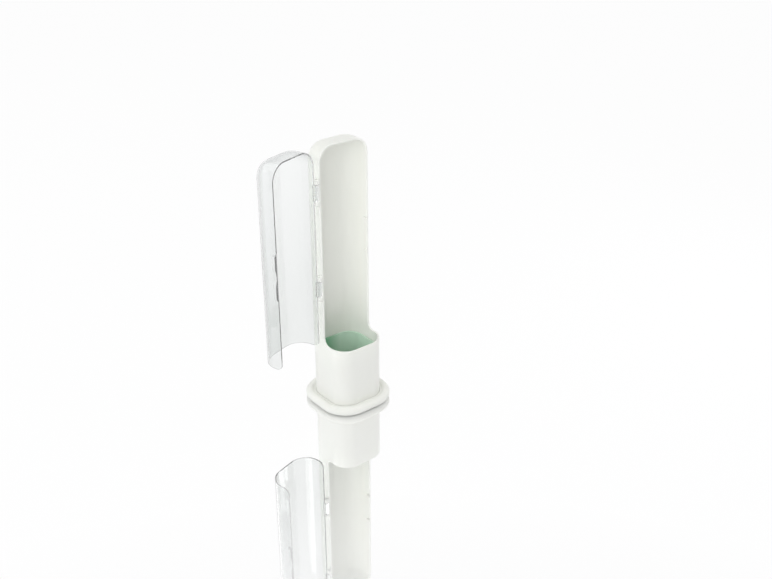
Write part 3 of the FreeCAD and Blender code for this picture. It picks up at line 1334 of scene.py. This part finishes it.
@dataclass(frozen=True)
class Foot:
    """Foot with a half-round lip, a socket and a plug, the seal round the plug and the pad below."""

    plan: Plan
    lip_radius: float = 5.0 * MM
    lip_overhang: float = 11.6 * MM
    lip_floor_gap: float = 0.5 * MM
    plate_bottom: float = 1.4 * MM
    plate_top: float = 6.0 * MM
    socket_top: float = 8.6 * MM
    socket_gap: float = 0.2 * MM
    plug_height: float = 8.0 * MM
    plug_wall: float = 2.0 * MM
    plug_inset: float = 2.6 * MM
    groove_offset: float = 3.0 * MM
    groove_height: float = 2.4 * MM
    groove_depth: float = 1.2 * MM
    seal_height: float = 2.2 * MM
    seal_outer_inset: float = 2.45 * MM
    seal_inner_inset: float = 3.75 * MM
    pad_inset: float = 1.0 * MM
    pad_chamfer: float = 0.4 * MM
    tread_pitch: float = 3.0 * MM
    tread_width: float = 1.2 * MM
    tread_depth: float = 0.5 * MM
    tread_count: int = 4
    edge_radius: float = 0.35 * MM
    middle_inset: float = 15 * MM
    lip_steps: int = 44

    def foot_profile(self) -> Outline:
        """From the middle of the underside round the lip and over the plug to the middle of the top.

        Returns:
            Inset and height of each point.
        """
        radius = self.lip_radius
        centre = (radius - self.lip_overhang, self.lip_floor_gap + radius)
        first = math.degrees(math.asin((self.plate_bottom - centre[1]) / radius))
        last = math.degrees(math.asin((self.socket_top - centre[1]) / radius) - math.tau)
        outer, inner = self.plug_inset, self.plug_inset + self.plug_wall
        groove = self.plate_top + self.groove_offset
        back = outer + self.groove_depth
        return [
            (self.middle_inset, self.plate_bottom),
            *arc(centre, radius, first, last, self.lip_steps),
            (-self.socket_gap, self.socket_top),
            (-self.socket_gap, self.plate_top),
            (outer, self.plate_top),
            (outer, groove),
            (back, groove),
            (back, groove + self.groove_height),
            (outer, groove + self.groove_height),
            (outer, self.plate_top + self.plug_height),
            (inner, self.plate_top + self.plug_height),
            (inner, self.plate_top),
            (self.middle_inset, self.plate_top),
        ]

    def seal_profile(self) -> Outline:
        """Section of the seal in its groove.

        Returns:
            Inset and height of each point.
        """
        low = self.plate_top + self.groove_offset
        high = low + self.seal_height
        inner, outer = self.seal_inner_inset, self.seal_outer_inset
        return [(outer, low), (outer, high), (inner, high), (inner, low)]

    def pad_profile(self) -> Outline:
        """From the middle of the top out to the edge and back underneath, over the treads.

        Returns:
            Inset and height of each point.
        """
        points = [
            (self.middle_inset, self.plate_bottom),
            (self.pad_inset, self.plate_bottom),
            (self.pad_inset, self.pad_chamfer),
            (self.pad_inset + self.pad_chamfer, 0.0),
        ]
        for index in range(1, self.tread_count + 1):
            near = self.pad_inset + index * self.tread_pitch - self.tread_width
            far = near + self.tread_width
            points += [(near, 0.0), (near, self.tread_depth), (far, self.tread_depth), (far, 0.0)]
        return points + [(self.middle_inset, 0.0)]

    def make(
        self, sweep: PlanSweep, white: bpy.types.Material, seal: bpy.types.Material,
        pad: bpy.types.Material,
    ) -> list[bpy.types.Object]:
        """The foot, its seal and its pad, in their finishes and on their body.

        Args:
            sweep: The tree that carries a profile round.
            white: The foot's finish.
            seal: The seal's.
            pad: The pad's.

        Returns:
            The foot, the seal and the pad.
        """
        foot = sweep.sweep("foot", self.plan, self.foot_profile(), ring=False, material=white)
        round_edges(foot, self.edge_radius)
        ring = sweep.sweep("seal", self.plan, self.seal_profile(), ring=True, material=seal)
        round_edges(ring, self.edge_radius)
        sole = sweep.sweep("pad", self.plan, self.pad_profile(), ring=False, material=pad)
        return [
            dress(foot, white, Body.FOOT, "base_foot"),
            dress(ring, seal, Body.FOOT, "base_seal"),
            dress(sole, pad, Body.FOOT, "grip_pad"),
        ]


def dress(
    obj: bpy.types.Object, material: bpy.types.Material, body: Body, node: str
) -> bpy.types.Object:
    """Finishes a piece and puts it on its body in place of its node.

    Args:
        obj: The piece, at rest.
        material: Its finish.
        body: The body it rides on.
        node: The node it stands for.

    Returns:
        The piece.
    """
    obj.data.materials.clear()
    obj.data.materials.append(material)
    obj.data.polygons.foreach_set("material_index", [0] * len(obj.data.polygons))
    smooth(obj)
    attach(obj, body.value)
    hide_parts(node)
    LOG.info("%s: %d faces, rides on %s", obj.name, len(obj.data.polygons), body.value)
    return obj


@dataclass(frozen=True)
class HingePins:
    """Steel pins of the hinge, shown as the frame has them."""

    nodes: tuple[str, ...] = ("hinge_pin_lower", "hinge_pin_upper")

    def make(self, material: bpy.types.Material) -> None:
        """Gives each pin its finish.

        Args:
            material: The finish.
        """
        for name in self.nodes:
            frame["nodes"][name].material_slots[0].material = material
            LOG.info("%s: kept from the frame", name)


# ---------------------------------------------------------------- studio


@dataclass(frozen=True)
class Viewpoint:
    """Where the camera stands and how it looks."""

    place: Triple = (-0.600983, -0.811435, 0.653918)
    heading: float = 0.6810
    pitch: float = 0.47375
    focal_pixels: float = 1031.689
    image_width: float = 772
    sensor_width: float = 36.0

    def make(self) -> None:
        """Sets up the scene's camera."""
        lens = bpy.data.cameras.new("camera")
        lens.sensor_fit = "HORIZONTAL"
        lens.sensor_width = self.sensor_width
        lens.lens = self.focal_pixels / self.image_width * self.sensor_width
        camera = bpy.data.objects.new("camera", lens)
        camera.location = self.place
        camera.rotation_euler = (QUARTER - self.pitch, 0.0, -self.heading)
        bpy.context.scene.collection.objects.link(camera)
        bpy.context.scene.camera = camera


@dataclass(frozen=True)
class Softbox:
    """Square soft lamp that points at the middle of the keeper."""

    name: str
    place: Triple
    size: float
    power: float
    aim: Triple = (0.0, 0.0, 0.15)

    def make(self) -> None:
        """Hangs the lamp."""
        lamp = bpy.data.lights.new(self.name, "AREA")
        lamp.size = self.size
        lamp.energy = self.power
        obj = bpy.data.objects.new(self.name, lamp)
        obj.location = self.place
        way = Vector(self.aim) - Vector(self.place)
        obj.rotation_euler = way.to_track_quat("-Z", "Y").to_euler()
        obj.visible_glossy = False
        bpy.context.scene.collection.objects.link(obj)


@dataclass(frozen=True)
class Studio:
    """Pale glossy floor, white surroundings and soft lamps."""

    floor_half: float = 4.0
    floor_tone: Rgba = tone(244, 244, 246)
    floor_gloss: float = 0.9
    floor_slant: float = 0.38
    floor_fade: float = 2.0
    floor_lift: float = 0.6
    floor_roughness: float = 0.02
    mirror_tone: Rgba = FULL_WHITE
    fill_level: float = 0.53
    lamps: tuple[Softbox, ...] = (
        Softbox(name="left", place=(-1.1, -0.6, 0.74), size=1.0, power=8.0),
        Softbox(name="right", place=(0.68, -0.25, 0.49), size=0.5, power=2.1),
        Softbox(name="back", place=(-0.5, 0.85, 1.14), size=1.0, power=3.6),
    )

    def make(self) -> None:
        """Builds the studio round the keeper."""
        self.make_floor()
        self.make_world()
        for lamp in self.lamps:
            lamp.make()
        bpy.context.scene.view_settings.view_transform = "Standard"

    def seen(self, book: NodeBook) -> bpy.types.NodeSocket:
        """1 for rays that show the surroundings, and 0 for those that light the keeper.

        Args:
            book: The nodes that it is added to.

        Returns:
            The mask.
        """
        path = book.add("ShaderNodeLightPath").outputs
        glassy = book.maths("MAXIMUM", path["Is Glossy Ray"], path["Is Transmission Ray"])
        return book.maths("MAXIMUM", path["Is Camera Ray"], glassy)

    def gloss_share(self, book: NodeBook) -> bpy.types.NodeSocket:
        """How much the floor mirrors: fully when it is looked along, and less and less from above.

        Args:
            book: The nodes that it is added to.

        Returns:
            The share, from 0 to 1.
        """
        slant = book.add("ShaderNodeLayerWeight")
        book.fill(slant, Blend=EVEN_BLEND)
        share = book.maths("DIVIDE", slant.outputs["Facing"], self.floor_slant)
        fading = book.maths("POWER", share, self.floor_fade)
        return book.maths("MULTIPLY", book.maths("MINIMUM", fading, 1.0), self.floor_gloss)

    def make_floor(self) -> None:
        """Floor that mirrors the keeper softly and keeps its shadow."""
        half = self.floor_half
        corners = [(-half, -half, 0.0), (half, -half, 0.0), (half, half, 0.0), (-half, half, 0.0)]
        mesh = bpy.data.meshes.new("floor")
        mesh.from_pydata(corners, [], [(0, 1, 2, 3)])
        floor = new_object(mesh, "floor")
        made = bpy.data.materials.new("floor")
        made.use_nodes = True
        made.node_tree.nodes.remove(made.node_tree.nodes["Principled BSDF"])
        book = NodeBook(made.node_tree)
        matt = book.feed(book.add("ShaderNodeBsdfDiffuse"), self.floor_tone)
        glow = book.add("ShaderNodeEmission").outputs[0]
        mirror = book.add("ShaderNodeBsdfGlossy")
        book.fill(mirror, Roughness=self.floor_roughness, Color=self.mirror_tone)
        seen = self.seen(book)
        lifted = book.choose(book.maths("MULTIPLY", seen, self.floor_lift), matt, glow)
        share = book.maths("MULTIPLY", seen, self.gloss_share(book))
        surface = book.choose(share, lifted, mirror.outputs[0])
        book.fill(made.node_tree.nodes["Material Output"], Surface=surface)
        mesh.materials.append(made)

    def make_world(self) -> None:
        """White to look at, and a soft even level of light."""
        world = bpy.data.worlds.new("studio")
        world.use_nodes = True
        book = NodeBook(world.node_tree)
        spread = book.maths("MULTIPLY", self.seen(book), 1.0 - self.fill_level)
        strength = book.maths("ADD", spread, self.fill_level)
        book.fill(world.node_tree.nodes["Background"], Color=FULL_WHITE, Strength=strength)
        bpy.context.scene.world = world


# ---------------------------------------------------------------- assembly


def main() -> None:
    """Builds the keeper piece by piece, and then the studio round it."""
    logging.basicConfig(level=logging.INFO, format="%(name)s: %(message)s")
    groups = SurfaceGroups()
    white, clear, green = (finish.material(groups) for finish in (WHITE, CLEAR, GREEN))
    steel, seal, pad = (finish.material(groups) for finish in (STEEL, SEAL_RUBBER, PAD_RUBBER))
    row, sweep = HingeRow(), PlanSweep()
    plan, hinge = Plan.from_frame(), Hinge.from_frame()
    CaseShell.from_frame(plan, hinge).make(row, white)
    Door.from_frame(plan, hinge).make(row, clear)
    WaterCup.from_frame(plan).make(sweep, green)
    Foot(plan).make(sweep, white, seal, pad)
    HingePins().make(steel)
    Studio().make()
    Viewpoint().make()


if __name__ == "__main__":
    main()
